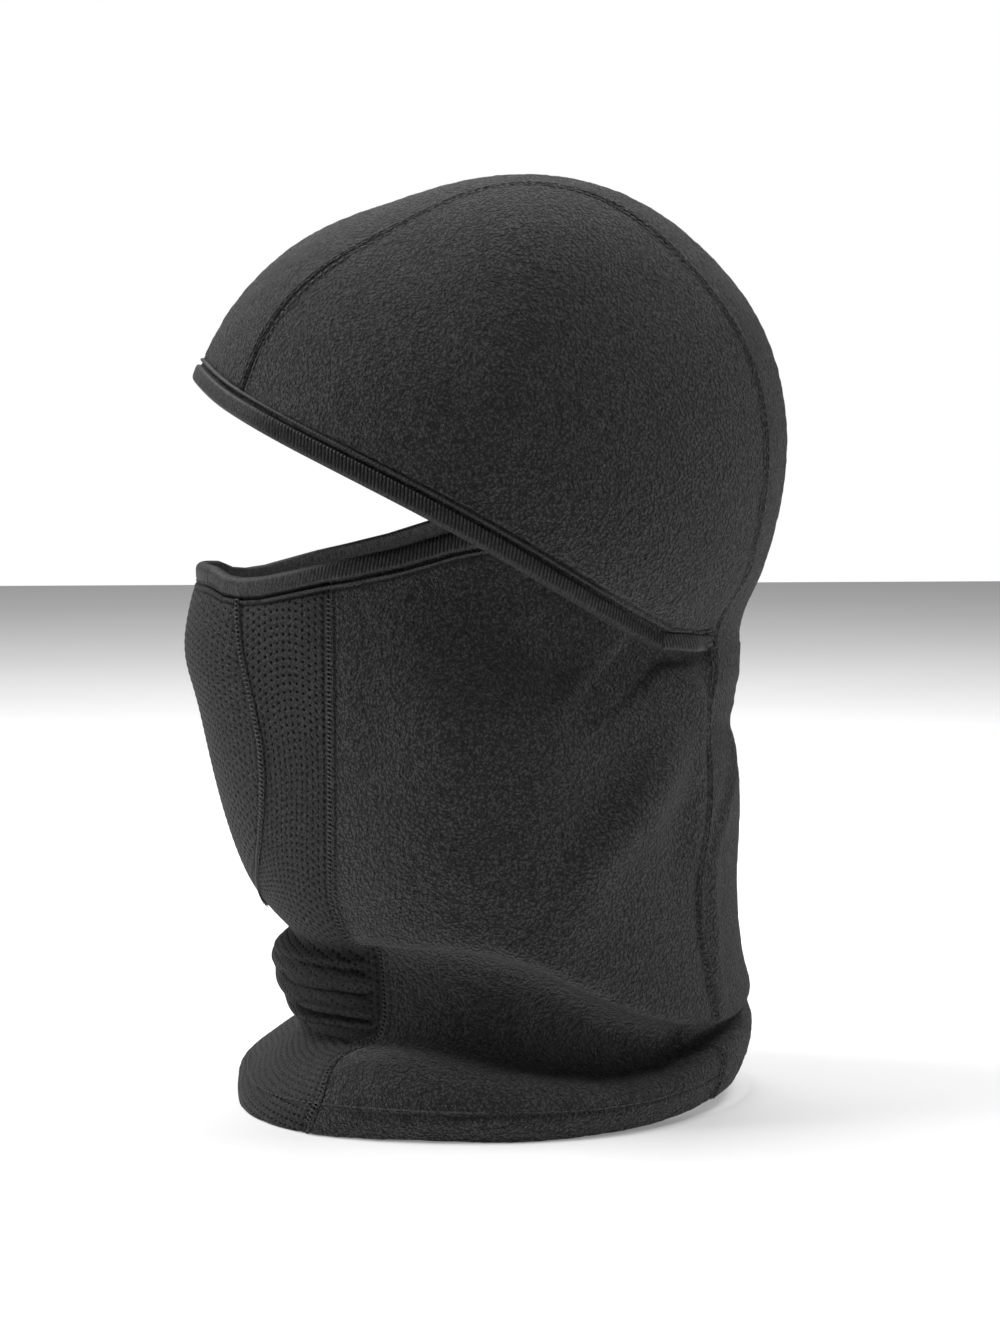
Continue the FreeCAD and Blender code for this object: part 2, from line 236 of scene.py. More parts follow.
def hood_x(y, z):
    """How far out the hood's side is at that depth and height."""
    dy, dz = y - HOOD_CENTRE[1], z - HOOD_CENTRE[2]
    angle = np.arctan2(dy, dz)
    power = square(angle)
    out = np.minimum(np.hypot(dy, dz) / hood_reach(angle), 1)
    return HOOD_WIDE * (1 - out**power) ** (1 / power)


# ---- the gaiter's form
def level_row(front, half, back, height):
    return (front, half, back, -58.0) + (height,) * 7


# One row for each level from the hem to the rim: front, half width, back, the depth of the seam
# between mesh and fleece, and the heights at every 30 degrees from the front round to the back
ROWS = np.array([
    (90.0, 77.5, 86.8, -61.5, 0.0, 0.0, 0.0, 0.0, 1.0, 5.0, 7.5),
    (89.2, 79.0, 89.6, -59.5, 6.5, 6.5, 7.0, 6.5, 7.4, 11.5, 14.0),
    (82.5, 78.2, 91.2, -57.0, 12.0, 12.5, 15.0, 13.0, 12.0, 17.5, 20.5),
    (75.0, 74.0, 91.0, -55.5, 17.5, 19.0, 23.5, 18.5, 15.0, 22.5, 26.0),
    (69.3, 65.5, 90.2, -49.5, 23.0, 22.5, 26.5, 21.0, 16.5, 24.5, 28.6),
    (72.5, 58.5, 89.9, -41.0, 31.0, 28.0, 30.0, 26.0, 19.5, 25.8, 30.4),
    (77.5, 55.5, 89.9, -40.0, 44.5, 43.0, 45.0, 40.0, 24.5, 27.0, 31.4),
    (76.0, 57.5, 90.0, -41.5, 53.0, 52.5, 58.0, 53.5, 31.5, 28.3, 32.5),
    (71.8, 66.0, 90.3, -46.0, 57.5, 57.5, 61.5, 57.5, 36.0, 29.8, 34.2),
    (74.5, 72.6, 90.4, -52.0, 62.0, 61.5, 64.0, 60.5, 40.0, 32.5, 38.0),
    (82.6, 73.5, 87.8, -57.0, 71.5, 72.0, 75.0, 72.0, 58.0, 49.0, 52.0),
    (89.3, 73.8, 86.4, -58.0, 85.0, 85.0, 86.0, 85.0, 80.0, 77.0, 77.0),
    level_row(95.6, 73.0, 87.2, 105.0),
    level_row(101.9, 70.5, 84.2, 133.0),
    level_row(105.6, 67.0, 86.0, 147.0),
    level_row(107.0, 63.5, 86.6, 160.0),
    level_row(103.6, 61.0, 90.6, 177.0),
    level_row(100.0, 60.5, 91.0, 190.0),
    level_row(95.6, 60.0, 88.0, 206.0),
])
# How much the front of each row bulges at its corners, where the flare of the hem is squarer
CORNER = np.array([0.09, 0.09, 0.08, 0.04] + [0.0] * (len(ROWS) - 4))
LEVELS = np.arange(len(ROWS))
LEVEL_ROW = 12  # from this row up the rows are level
FRONT, HALF, BACK, SEAM_DEPTH = (ROWS[:, i] for i in range(4))
HEIGHTS = ROWS[:, 4:]
STATIONS = HEIGHTS.shape[1]


def rows(values, v):
    return spline(LEVELS, values, v)


def deep(v, ahead):
    """How far the gaiter reaches in front of the middle, where ahead is true, or behind it."""
    return np.where(ahead, rows(FRONT, v), rows(BACK, v))


def level_of(z):
    """The level of a height, for heights where the rows are level."""
    fine = np.linspace(LEVEL_ROW, LEVELS[-1], 400)
    return np.interp(z, rows(HEIGHTS[:, 0], fine), fine)


def gaiter_height(v, angle):
    """The height at a level, by a smooth curve through the heights at the stations."""
    heights = rows(HEIGHTS, v)
    turn = np.abs(angle) / math.pi
    place = np.minimum(turn, 2 - turn) * (STATIONS - 1)
    i = np.clip(np.floor(place).astype(int), 0, STATIONS - 2)
    t = place - i

    def station(k):
        k = np.abs(k)
        k = np.where(k > STATIONS - 1, 2 * (STATIONS - 1) - k, k)
        return np.take_along_axis(heights, k[..., None], -1)[..., 0]

    a, b, c, d = station(i - 1), station(i), station(i + 1), station(i + 2)
    return b + 0.5 * t * (c - a + t * (2 * a - 5 * b + 4 * c - d + t * (3 * (b - c) + d - a)))


def front_level(z):
    """The level of a height at the middle of the front."""
    return np.interp(z, gaiter_height(LEVELS, np.zeros(len(LEVELS))), LEVELS)


def gaiter_at(v, angle):
    """A point of the gaiter. The angle runs from the front, 0, by the wearer's left to the back, pi."""
    v, angle = np.broadcast_arrays(np.asarray(v, float), np.asarray(angle, float))
    ahead = np.cos(angle) > 0
    corner = 1 + rows(CORNER, v) * np.sin(2 * angle) ** 2 * ahead
    x, y = rows(HALF, v) * np.sin(angle) * corner, -deep(v, ahead) * np.cos(angle) * corner
    return np.stack([x, y, gaiter_height(v, angle)], -1)


def gaiter_x(y, z):
    """How far out the gaiter's side is at that depth and height, where the rows are level."""
    v = level_of(z)
    return rows(HALF, v) * np.sqrt(np.clip(1 - (y / deep(v, y < 0)) ** 2, 0, 1))


# The gaiter's upper edge, as depths and heights
RIM = np.array([
    (-110, 185.4), (-101, 185.0), (-97, 184.4), (-92.4, 181.9), (-87.3, 181.2), (-80, 182.0),
    (-71.8, 184.0), (-60.9, 186.7), (-50, 188.9), (-34.6, 192.4), (-17.3, 197.6), (0, 201.0),
    (22, 198.0), (42, 184.0), (56, 171.0), (66, 166.0), (71, 161.0), (74, nape[2]), (95, nape[2]),
])


def rim_level(y):
    """The level of the gaiter's upper edge at that depth."""
    return level_of(np.interp(y, *RIM.T))


def rim_top(angle_of, top):
    """The level at which each column of a panel meets the rim. angle_of gives a column's angle at a
    level, and top is a first guess."""
    for _ in range(6):
        ahead = np.cos(angle_of(top))
        top = rim_level(-deep(top, ahead > 0) * ahead)
    return top


# ---- where the seams run
# Half the width of the strip: at 0 it is at the brow, at 1 at the nape and at 2 at the hem
STRIP = np.array([
    (0, 48.0), (0.12, 45.5), (0.3, 43.5), (0.5, 43.0), (0.75, 43.5), (0.9, 39.0), (1.0, 34.5),
    (1.1, 38.0), (1.19, 43.5), (1.26, 47.8), (1.33, 45.0), (1.42, 42.5), (1.7, 43.0), (2.0, 44.0),
])


def strip_half(r):
    return spline(*STRIP.T, r)


NAPE_LEVEL = float(level_of(nape[2]))


def back_seam_angle(v):
    """The angle of the strip's seam at a level."""
    r = 2 - v / NAPE_LEVEL
    return math.pi - np.arcsin(strip_half(r) / rows(HALF, v))


def front_seam_angle(v):
    return np.arccos(-rows(SEAM_DEPTH, v) / rows(FRONT, v))


# The mouth panel's outline: heights and half widths
MOUTH_OUTLINE = np.array([
    (66, 0), (68, 6), (71, 12), (76, 19.5), (84, 28), (93, 34.5), (104, 39), (115, 41.3),
    (127, 42.2), (140, 41.0), (148, 39.5), (156, 37.5), (164, 35.3), (173, 32.8), (190, 29),
])
MOUTH_LOW = MOUTH_OUTLINE[0, 0]
MOUTH_LEVEL = 11  # below this level there is no mouth panel


def mouth_seam_angle(v):
    """The angle of the mouth panel's seam, and 0 below the panel."""
    z = gaiter_height(v, np.zeros_like(v))
    return np.arcsin(np.interp(z, *MOUTH_OUTLINE.T) / rows(HALF, v))


def brow_angle(x):
    """The hood angle where the cloth meets the sloping edge, at that distance from the middle."""
    below, above = np.full(x.shape, math.radians(-110)), np.full(x.shape, math.radians(-20))
    for _ in range(30):
        middle = (below + above) / 2
        point = hood_at(middle, x)
        inside = point[..., 2] > edge_height(point[..., 1])
        below, above = np.where(inside, below, middle), np.where(inside, middle, above)
    return above


def nape_angle():
    angles = np.linspace(math.pi / 2, math.pi, 600)
    return np.interp(-nape[2], -hood_at(angles, np.zeros(600))[:, 2], angles)


NAPE_ANGLE = nape_angle()


def neck_back_at(x, z):
    """A point of the gaiter's back, where the rows are level."""
    v = level_of(z)
    y = rows(BACK, v) * np.sqrt(np.clip(1 - (x / rows(HALF, v)) ** 2, 0, 1))
    return np.stack([x, y, z], -1)


def strip_at(r, x):
    """A point of the strip: r as in STRIP, x from the middle."""
    v = NAPE_LEVEL * np.clip(2 - r, 0, 1)
    neck = gaiter_at(v, math.pi - np.arcsin(np.clip(x / rows(HALF, v), -0.99, 0.99)))
    angle = lerp(brow_angle(x), NAPE_ANGLE, np.clip(r, 0, 1))
    height = hood_at(angle, np.zeros_like(x))[..., 2]
    join = ((1 - smooth(height, *NECK_JOIN)) * (angle > 0))[..., None]
    hood = lerp(hood_at(angle, x), neck_back_at(x, height), join)
    return np.where((r > 1)[..., None], neck, hood)


# ---- sheets
def from_axis(points):
    """The level way from the object's upright axis to each point."""
    return points * np.array([1, 1, 0])


def normals_of(grid):
    """The unit normals of a grid of points, on the side away from the object's axis."""
    normal = unit(np.cross(np.gradient(grid, axis=0), np.gradient(grid, axis=1)))
    sign = np.sign((normal * from_axis(grid)).sum(-1).mean())
    return normal * sign, sign


def make_object(name, points, faces, uvs=None):
    """A smooth mesh object in metres. faces is a list of arrays with one face in each row."""
    loops = np.concatenate([block.ravel() for block in faces])
    totals = np.concatenate([np.full(len(block), block.shape[1]) for block in faces])
    mesh = bpy.data.meshes.new(name)
    mesh.vertices.add(len(points))
    mesh.vertices.foreach_set("co", (points * MM).astype(np.float32).ravel())
    mesh.loops.add(len(loops))
    mesh.loops.foreach_set("vertex_index", loops.astype(np.int32))
    mesh.polygons.add(len(totals))
    mesh.polygons.foreach_set("loop_start", (np.cumsum(totals) - totals).astype(np.int32))
    mesh.polygons.foreach_set("loop_total", totals.astype(np.int32))
    mesh.polygons.foreach_set("use_smooth", np.ones(len(totals), bool))
    if uvs is not None:
        layer = mesh.uv_layers.new(name="cloth")
        layer.data.foreach_set("uv", (uvs[loops] * MM).astype(np.float32).ravel())
    mesh.update(calc_edges=True)
    mesh.validate()
    piece = bpy.data.objects.new(name, mesh)
    bpy.context.scene.collection.objects.link(piece)
    return piece


def grid_quads(index, flip):
    corners = [index[:-1, :-1], index[1:, :-1], index[1:, 1:], index[:-1, 1:]]
    quads = np.stack(corners, -1).reshape(-1, 4)
    return quads[:, ::-1] if flip else quads


COARSE = 4  # the inside of a sheet has one point for this many outside


def closed_sheet(name, base, relief, groove, uv=None, thick=FABRIC):
    """A closed sheet of cloth. base is the plain surface, relief the height of its detail in mm and groove,
    from 0 to 1, how much painted shade darkens it."""
    normal, sign = normals_of(base)
    outer = base + normal * relief[..., None]
    n, m = base.shape[:2]
    rows_in, cols_in = (np.unique(np.append(np.arange(0, size, COARSE), size - 1)) for size in (n, m))
    chosen = np.ix_(rows_in, cols_in)
    inner = (base - normal * thick)[chosen]
    out_index = np.arange(n * m).reshape(n, m)
    in_index = n * m + np.arange(inner[..., 0].size).reshape(inner.shape[:2])
    points = np.concatenate([outer.reshape(-1, 3), inner.reshape(-1, 3)])
    flip = sign < 0
    faces = [grid_quads(out_index, flip), grid_quads(in_index, not flip)]
    borders = (
        (out_index[:, 0], in_index[:, 0], rows_in, False),
        (out_index[:, -1], in_index[:, -1], rows_in, True),
        (out_index[0, :], in_index[0, :], cols_in, True),
        (out_index[-1, :], in_index[-1, :], cols_in, False),
    )
    for out, inn, marks, turned in borders:
        for k in range(len(marks) - 1):
            corners = np.append(out[marks[k] : marks[k + 1] + 1], [inn[k + 1], inn[k]])[None]
            faces.append(corners[:, ::-1] if turned == flip else corners)
    uvs = None if uv is None else np.concatenate([uv.reshape(-1, 2), uv[chosen].reshape(-1, 2)])
    piece = make_object(name, points, faces, uvs)
    # the groove attribute carries painted shade to the materials
    values = np.zeros(len(points), np.float32)
    values[: n * m] = np.clip(groove, 0, 1).ravel()
    piece.data.attributes.new("groove", "FLOAT", "POINT").data.foreach_set("value", values)
    return piece


def distances(grid, axis):
    """The distance of each point of a grid from the first along one axis."""
    steps = np.linalg.norm(np.diff(grid, axis=axis), axis=-1)
    pad = [(0, 0), (0, 0)]
    pad[axis] = (1, 0)
    return np.pad(np.cumsum(steps, axis), pad)


def from_ends(grid, axis):
    """The distance of each point of a grid from the first and from the last along one axis."""
    return distances(grid, axis), np.flip(distances(np.flip(grid, axis), axis), axis)


def ditch(distance, width, depth):
    """A groove that runs where distance is 0."""
    return -depth * bell(distance, width)


def pile(points):
    """The uneven surface of brushed fleece."""
    return 0.22 * (noise(points, 2.1, 1) + 0.5 * noise(points, 4.3, 2))


SEAM_ROW, FLAT_ROW = 1.5, 1.7  # the stitches run this far from a plain seam, and from a flat one


def seam_relief(distance, run, row=SEAM_ROW):
    """The cloth beside a seam with a row of stitches: a ditch at both, and a slight pucker."""
    pucker = 0.12 * np.sin(TAU * run / SEAM_STITCH[0]) * bell(distance, 2.6)
    ridge = ditch(distance - row / 2, 0.45, -0.4)
    return ditch(distance, 0.4, 0.4) + ditch(distance - row, 0.45, 0.5) + ridge + pucker


RIDGE = 7.4  # the raised cord runs this far in from an edge, between two grooves
CORD_NEAR, CORD_FAR = 6.3, 8.6


def edge_relief(distance):
    """The cloth beside a binding: a groove on each side of a raised cord."""
    return ditch(distance - CORD_NEAR, 0.5, 1.3) + ditch(distance - CORD_FAR, 0.5, 0.7)


def edge_groove_shade(distance):
    """Painted shade in those two grooves: how much darker the cloth is made there."""
    return bell(distance - CORD_NEAR, 0.6) + 0.7 * bell(distance - CORD_FAR, 0.45)


def seam_groove_shade(distance, row=SEAM_ROW):
    """Painted shade at a seam and its row of stitches: how much darker the cloth is made there."""
    return 0.25 * (bell(distance, 0.4) + bell(distance - row, 0.45))


# ---- folds in the gaiter's cloth
# Each fold runs through points (y, z) seen from the side: its width, its height (below 0 for a
# crease) and the points
FOLDS = [
    (9.0, 4.4, [(62, 141), (50, 115), (42, 102), (30, 88), (23, 74)]),
    (11.0, -1.6, [(44, 140), (30, 112), (18, 94)]),
    (5.0, -7.0, [(60, 169), (48, 159), (38, 150), (27, 141)]),
    (5.0, 2.4, [(57, 152), (64, 142), (69, 131), (70, 118)]),
    (3.2, -1.8, [(66, 158), (70, 146), (74, 134)]),
    (6.0, -1.8, [(62, 118), (58, 98), (54, 80)]),
    (4.0, 1.8, [(70, 118), (70, 100), (69, 80), (70, 62)]),
    (9.0, -1.4, [(6, 172), (16, 160), (26, 150)]),
    (12.0, 1.0, [(-30, 150), (-18, 120), (-20, 96)]),
    (7.0, -0.7, [(-50, 168), (-42, 140), (-44, 110)]),
]
# The mesh below the chin is gathered into level folds: height, width and rise
GATHERS = [
    (56.5, 2.0, -1.4), (52.6, 1.3, 0.8), (50.3, 0.9, -1.1), (47.6, 1.6, 1.2), (43.6, 2.0, -4.4),
    (38.8, 2.2, 2.2), (34.6, 2.0, -2.8), (31.0, 1.6, 1.4), (27.0, 2.2, -3.4),
]


def fold_relief(points, side):
    """The rise of the folds at each point, for the wearer's left, 1, or right, -1."""
    total = np.zeros(points.shape[:-1])
    flat = points[..., 1:]
    sway = np.stack([noise(points, 30, 5), noise(points, 30, 6)], -1) * 1.4
    shifted = flat + sway + (np.array([3.0, -5.0]) if side < 0 else 0)
    for width, height, path in FOLDS:
        path = np.array(path, float)
        run = along(path)
        best = np.full(total.shape, 1e9)
        where = np.zeros(total.shape)
        for a, b, start in zip(path[:-1], path[1:], run):
            leg = b - a
            t = np.clip(((shifted - a) @ leg) / (leg @ leg), 0, 1)
            gap = np.linalg.norm(shifted - a - t[..., None] * leg, axis=-1)
            near = gap < best
            best = np.where(near, gap, best)
            where = np.where(near, start + t * np.linalg.norm(leg), where)
        fade = np.sin(math.pi * np.clip(where / run[-1], 0.06, 0.94)) ** 0.8
        total += height * fade * bell(best, width)
    return total * (points[..., 0] * side > 0)


def gather_relief(points, angle):
    """The rise of the gathers, fading towards the middle of the front and to the mesh's side."""
    total = 0
    z = points[..., 2] + 1.4 * noise(points * np.array([1, 1, 0.2]), 20, 9)
    away = np.abs(angle)
    for height, width, rise in GATHERS:
        total = total + rise * bell(z - height, width)
    return total * (0.15 + 0.85 * smooth(away, 0.1, 0.6)) * (1 - smooth(away, 0.88, 1.0))


def slack(points):
    """The gentle unevenness of cloth that hangs free."""
    return 0.9 * noise(points, 38, 3) + 0.35 * noise(points, 15, 4)


# ---- the panels
def sides_of(maker):
    """Makes a piece for the wearer's left, 1, and right, -1."""
    for side, word in ((1, "left"), (-1, "right")):
        maker(side, word)


def mirror(grid, side):
    return grid * np.array([side, 1, 1])


def seam_path():
    """The strip's left seam from the brow to the nape."""
    r = np.linspace(0, 1, 900)
    return strip_at(r, strip_half(r))


OVER_NECK = 3.2  # how far the hood's edge stands out from the gaiter's surface


def hood_edge_path():
    """The hood's left edge from the strip's seam at the brow to its seam at the nape."""
    top = seam_path()
    start, end = top[0], top[-1]
    slope_y = lerp(start[1], TAB_START[0], np.linspace(0, 1, 400) ** 1.35)
    slope = np.stack([slope_y, edge_height(slope_y)], -1)
    tab_y = np.linspace(TAB_START[0], end[1], 40)[1:]
    tab_z = lerp(TAB_START[1], end[2], smooth(tab_y, TAB_START[0] - 4, end[1] + 2))
    flat = np.concatenate([slope, np.stack([tab_y, tab_z], -1)])
    neck = gaiter_x(flat[:, 0], np.maximum(flat[:, 1], HEIGHTS[LEVEL_ROW, 0]))
    x = soft_max(hood_x(*flat.T), (neck + OVER_NECK) * smooth(flat[:, 0], -20, 20), 2.0)
    x = lerp(x, end[0], smooth(flat[:, 0], end[1] - 9, end[1]))
    x += (start[0] - x[0]) * (1 - smooth(flat[:, 0], start[1], start[1] + 12))
    return spread(np.column_stack([x, flat]), count=900)


def hood_side_grid():
    """The hood's left side between the seam, row 0, and the edge, the last row."""
    seam, edge = seam_path(), hood_edge_path()
    columns = int(along(seam)[-1] / FINE)
    seam, edge = (spread(path, count=columns) for path in (seam, edge))
    s = np.linspace(0, 1, 260)[:, None]
    flat = lerp(seam[None, :, 1:], edge[None, :, 1:], (s**1.15)[..., None])
    y, z = flat[..., 0], flat[..., 1]
    neck = (gaiter_x(y, np.maximum(z, HEIGHTS[LEVEL_ROW, 0])) + OVER_NECK) * (1 - smooth(z, 165, 190))
    x = soft_max(hood_x(y, z), neck * smooth(y, 10, 35), 3.0)
    grid = np.stack([x, y, z], -1)
    grid[..., 0] += (seam[None, :, 0] - grid[:1, :, 0]) * (1 - s) ** 4
    grid[..., 0] += (edge[None, :, 0] - grid[-1:, :, 0]) * s**4
    return respace(grid, 0, (AT_SEAM, AT_EDGE))


def make_hood_side(side, word):
    base = mirror(hood_side_grid(), side)
    from_seam, from_edge = from_ends(base, 0)
    relief = pile(base) + seam_relief(from_seam, distances(base, 1)) + edge_relief(from_edge)
    crease = np.hypot(base[..., 1] - 70, (base[..., 2] - 172) * 0.5)
    relief += ditch(crease, 6, 1.4) + 0.5 * noise(base, 34, 7)
    groove = seam_groove_shade(from_seam) + edge_groove_shade(from_edge)
    name = f"hood_side_panel_{word}"
    finish_piece(closed_sheet(name, base, relief, groove), "fleece", "hood", name)


STRIP_WIDTH = 92
STRIP_FOLD = [(88, 132), (42, 12)]  # heights, and how far from the middle the strip's folds run


def make_strip():
    """The strip over the head and down the back of the neck, one length of cloth."""
    r = np.linspace(0, 2, 1200)
    # the rows are spread evenly along the seam, where the folds of the hem are deepest
    seam = strip_at(r, strip_half(r))
    r = np.interp(even_places(seam, pitch=FINE), along(seam), r)
    r, q = np.broadcast_arrays(r[:, None], np.linspace(-1, 1, int(STRIP_WIDTH / FINE))[None, :])
    base = np.concatenate([strip_at(r, q * strip_half(r)), r[..., None]], -1)
    base = respace(base, 1, (AT_SEAM, AT_SEAM))
    base, r = base[..., :3], base[..., 3]
    run = distances(base, 0)
    from_left, from_right = from_ends(base, 1)
    relief = pile(base) + seam_relief(from_left, run) + seam_relief(from_right, run)
    # the grooves are shallower over the forehead, where they are seen from the side
    relief += edge_relief(run) * lerp(0.3, 1.0, smooth(np.abs(base[..., 0]), 22, 42))
    relief += np.where(r > 1, 0.8, 0.35) * noise(base, 30, 8)
    inside = smooth(np.minimum(from_left, from_right), 1, 8)
    back = smooth(r, 1.05, 1.3) * (1 - smooth(r, 1.5, 1.75)) * inside
    beside = np.abs(base[..., 0]) - np.interp(base[..., 2], *STRIP_FOLD)
    relief += back * (1.8 * bell(beside, 3.5) - 1.4 * bell(beside - 6, 3.5))
    relief += ditch(base[..., 2] - 129.6, 5, 1.6) * (r > 1)
    relief += ditch((r - 2) * nape[2] + HEM_STITCH, 0.6, 0.4) * (r > 1)
    groove = seam_groove_shade(from_left) + seam_groove_shade(from_right) + edge_groove_shade(run)
    piece = closed_sheet("crown_and_back_strip", base, relief, groove)
    finish_piece(piece, "fleece", None, "crown_strip", "neck_back_panel")


HEM_STITCH = 9.8  # how far above the hem its row of stitches runs
PANEL_HEIGHT = 225  # along the cloth, folds and all
NECK_WIDTH, MESH_WIDTH = 165, 62
TOP_LEVEL = 17.0  # the rim is near this level; the search for it starts here


def gaiter_panel(from_angle, to_angle, width, spacing):
    """A panel of the gaiter from the hem, row 0, to the rim, between two seams given by level."""
    columns, lines = int(width / spacing), int(PANEL_HEIGHT / spacing)
    u = np.linspace(0, 1, columns)[None, :]

    def angle_of(v):
        return lerp(from_angle(v), to_angle(v), u)

    v = np.linspace(0, 1, lines)[:, None] * rim_top(angle_of, np.full((1, columns), TOP_LEVEL))
    return gaiter_at(v, angle_of(v)), v, angle_of(v)


def hollow_shade(v, base):
    """Painted shade in the hollow below the drape: how much darker the cloth is made there."""
    return 0.5 * smooth(v, 4.0, 5.4) * (1 - smooth(v, 8.3, 9.7)) * (1 - smooth(base[..., 1], 10, 65))


def make_neck_side(side, word):
    base, v = gaiter_panel(front_seam_angle, back_seam_angle, NECK_WIDTH, FINE)[:2]
    base = np.concatenate([base, v[..., None]], -1)
    base = respace(respace(base, 1, (AT_FLAT_SEAM, AT_SEAM)), 0, (0.0, AT_EDGE))
    base, v = mirror(base[..., :3], side), base[..., 3]
    (run, from_rim), (from_front, from_back) = from_ends(base, 0), from_ends(base, 1)
    folds = fold_relief(base, side) * smooth(from_front, 2, 14) * smooth(from_back, 0, 7)
    loose = slack(base) * smooth(from_front, 0, 20) * smooth(from_back, 0, 12) + folds
    covered = smooth(base[..., 2], 151, 157) * smooth(base[..., 1], 44, 54)
    loose = lerp(loose, -2.2 * smooth(from_back, 1, 5), covered)
    relief = pile(base) + loose
    relief += seam_relief(from_front, run, 2.2) + seam_relief(from_back, run)
    relief += edge_relief(from_rim) * beside_tape(base) + ditch(run - HEM_STITCH, 0.8, 0.6)
    # painted shade, stored as the groove attribute: in the seams' and the rim's grooves, in the hollow
    # below the drape and along the ditch of the hem's stitches
    groove = seam_groove_shade(from_front) + seam_groove_shade(from_back)
    groove += edge_groove_shade(from_rim) * beside_tape(base)
    groove += hollow_shade(v, base) + 0.4 * bell(run - HEM_STITCH, 0.7)
    name = f"neck_side_panel_{word}"
    finish_piece(closed_sheet(name, base, relief, groove), "fleece", "gaiter", name)


def beside_tape(base):
    """1 where the mask's tape is near, and 0 behind its end."""
    return 1 - smooth(base[..., 1], 30, 45)


HOLE_ACROSS, HOLE_UP = 2.4, 2.7  # the pitch of the holes in a row, and of the rows
HOLE_SLOPE = 0.14  # the rows run down towards the back


def knit_relief(across, up):
    """Perforated knit: small oval holes in rows, with raised courses between them."""
    wave = (np.cos(TAU * across / HOLE_ACROSS) + np.cos(TAU * up / HOLE_UP)) / 2
    return -0.8 * smooth(wave, 0.6, 0.92) - 0.06 * np.cos(TAU * up / HOLE_UP)


MOUTH_SIZE = (72, 112)  # width and height along the cloth
MOUTH_TOP = 16.5  # the mouth panel meets the rim near this level


def make_mouth():
    columns, lines = (int(size / KNIT_FINE) for size in MOUTH_SIZE)
    q = np.linspace(-1, 1, columns)[None, :]
    top = rim_top(lambda v: q * mouth_seam_angle(v), np.full(q.shape, MOUTH_TOP))
    v = lerp(front_level(MOUTH_LOW), top, np.linspace(0, 1, lines)[:, None])
    base = gaiter_at(v, q * mouth_seam_angle(v))
    run, from_rim = from_ends(base, 0)
    uv = np.stack([base[..., 0] * 1.06, run], -1)
    edge = np.minimum(*from_ends(base, 1))
    relief = knit_relief(uv[..., 0], uv[..., 1]) * smooth(edge, 1.2, 2.4) * smooth(from_rim, 8, 10)
    relief += ditch(edge - FLAT_ROW, 0.4, 0.5) + 0.35 * noise(base, 24, 11)
    # the grooves beside the tape are shallower over the nose, where they are seen from the side
    relief += edge_relief(from_rim) * lerp(0.3, 1.0, smooth(np.abs(base[..., 0]), 8, 25))
    groove = edge_groove_shade(from_rim) + 0.6 * seam_groove_shade(edge, FLAT_ROW)
    piece = closed_sheet("mouth_panel", base, relief, groove, uv)
    finish_piece(piece, "mesh", "gaiter", "mouth_panel")


def make_mesh_side(side, word):
    base, v, angle = gaiter_panel(mouth_seam_angle, front_seam_angle, MESH_WIDTH, KNIT_FINE)
    base = mirror(base, side)
    (run, from_rim), (from_mouth, from_fleece) = from_ends(base, 0), from_ends(base, 1)
    uv = np.stack([from_fleece, run - HOLE_SLOPE * from_fleece], -1)
    plain = smooth(from_mouth, 1.2, 2.4) * smooth(from_fleece, 1.2, 2.6) * smooth(from_rim, 8, 10)
    relief = knit_relief(uv[..., 0], uv[..., 1]) * plain + gather_relief(base, angle)
    relief += ditch(from_mouth - FLAT_ROW, 0.4, 0.5) * (v > MOUTH_LEVEL) + ditch(from_fleece, 0.4, 0.4)
    relief += ditch(from_fleece - FLAT_ROW, 0.4, 0.5) + edge_relief(from_rim)
    relief += ditch(run - HEM_STITCH, 0.6, 0.4) + 0.4 * noise(base, 24, 12)
    # painted shade, stored as the groove attribute: in the seams' and the rim's grooves and in the hollow
    # below the drape
    groove = edge_groove_shade(from_rim) + 0.6 * seam_groove_shade(from_mouth, FLAT_ROW) * (v > MOUTH_LEVEL)
    groove += 0.6 * seam_groove_shade(from_fleece, FLAT_ROW) + hollow_shade(v, base)
    name = f"mesh_side_panel_{word}"
    finish_piece(closed_sheet(name, base, relief, groove, uv), "mesh", "gaiter", name)


# ---- bindings and hems
def frames(path, outward, rise):
    """At each point of an edge: the way into the cloth from it, and the way out of the cloth. rise is 1
    where the cloth is above the edge and -1 where it is below."""
    way = unit(np.gradient(path, axis=0))
    out = unit(outward - way * (outward * way).sum(-1, keepdims=True))
    into = np.cross(out, way)
    return into * rise * np.sign(into[len(path) // 2, 2]), out


def sweep(path, into, out, section, ribs):
    """A solid along a path, as points, faces and cloth positions. ribs is how high its ribs stand at
    each point of the path."""
    section = np.array(section, float)
    n, m = len(path), len(section)
    a, b = (np.broadcast_to(values, (n, m)) for values in section.T)
    run = along(path)[:, None]
    face = smooth(section[:, 1], -0.4, 0.6)
    b = b + ribs[:, None] * np.cos(TAU * (run + RIB_LEAN * a) / RIB) * face
    points = path[:, None] + into[:, None] * a[..., None] + out[:, None] * b[..., None]
    index = np.arange(n * m).reshape(n, m)
    index = np.concatenate([index, index[:, :1]], 1)
    after = np.roll(section, -1, 0)
    area = 0.5 * (section[:, 0] * after[:, 1] - after[:, 0] * section[:, 1]).sum()
    way = np.cross(into, out)[n // 2] @ (path[n // 2 + 1] - path[n // 2])
    flip = (area > 0) == (way > 0)
    first, last = index[0, :-1], index[-1, :-1]
    caps = np.stack([first[::-1], last] if flip else [first, last[::-1]])
    faces = [grid_quads(index, flip), caps]
    return points.reshape(-1, 3), faces, np.stack([run + 0 * a, a], -1).reshape(-1, 2)


def rounded(points):
    """Rounds a closed outline's corners by cutting them twice."""
    points = np.array(points, float)
    for _ in range(2):
        after = np.roll(points, -1, 0)
        points = np.stack([lerp(points, after, 0.25), lerp(points, after, 0.75)], 1).reshape(-1, 2)
    return points


